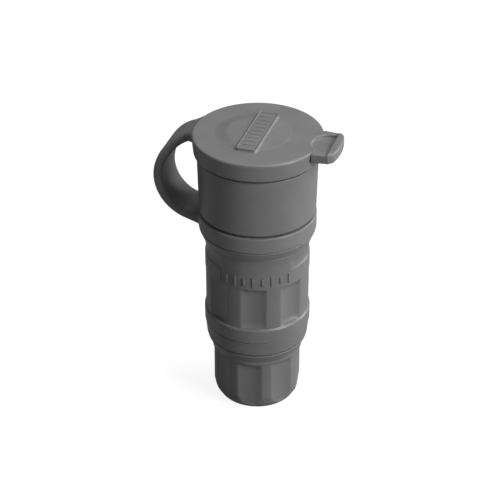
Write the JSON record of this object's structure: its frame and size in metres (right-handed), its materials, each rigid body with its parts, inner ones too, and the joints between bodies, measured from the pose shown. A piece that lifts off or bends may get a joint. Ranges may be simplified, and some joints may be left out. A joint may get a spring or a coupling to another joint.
{
  "type": "watertight locking plug",
  "caption": "Round watertight locking plug with a flip-over closure cap on a strap, fluted housing, recessed curved blades and a cord nut.",
  "frame": {"origin": "centre of the cord hole's mouth, in the plane of the cord nut's foot, which the plug stands on", "axes": "+Z along the plug's axis from the cord nut to the closure cap, +X towards the cap's pull tab, with the strap on -X"},
  "size_m": [0.0831, 0.0574, 0.137],
  "materials": {
    "cap_rubber": "satin moulded rubber",
    "housing_rubber": "satin moulded rubber-skinned nylon",
    "seal_rubber": "matte",
    "nylon": "matte",
    "washer_plastic": "matte",
    "blade_brass": "bright stamped",
    "screw_steel": "zinc plated"
  },
  "bodies": {
    "housing": {"closure_strap": "cap_rubber", "strap_ring": "cap_rubber", "front_collar": "housing_rubber", "body_shell": "housing_rubber", "collar_seal": "seal_rubber", "face_gasket": "seal_rubber", "cord_gland": "seal_rubber", "contact_holder": "nylon", "terminal_block": "nylon", "cord_clamp_front": "nylon", "cord_clamp_back": "nylon", "blade_line_1": "blade_brass", "blade_line_2": "blade_brass", "blade_neutral": "blade_brass", "blade_ground": "blade_brass", "terminal_clamps": "screw_steel", "terminal_screws": "screw_steel", "assembly_screws": "screw_steel", "cord_clamp_screws": "screw_steel", "cord_clamp_nuts": "screw_steel"},
    "cap": {"closure_cap": "cap_rubber"},
    "washer": {"slip_washer": "washer_plastic"},
    "nut": {"cord_nut": "housing_rubber"}
  },
  "joints": [
    {"name": "cap_flip", "type": "hinge", "parent": "housing", "child": "cap", "pos_m": [-0.0391, 0, 0.1277], "axis": [0, -1, 0], "range_deg": [0, 180], "deforming": ["closure_strap"]},
    {"name": "nut_travel", "type": "slide", "parent": "housing", "child": "washer", "axis": [0, 0, 1], "range_m": [-0.0113, 0]},
    {"name": "nut_turn", "type": "hinge", "parent": "washer", "child": "nut", "pos_m": [0, 0, 0], "axis": [0, 0, 1], "range_deg": [-1620, 0]}
  ],
  "couplings": [
    {"joint": "nut_travel", "follows": "nut_turn", "m_per_rad": 0.00039788}
  ]
}
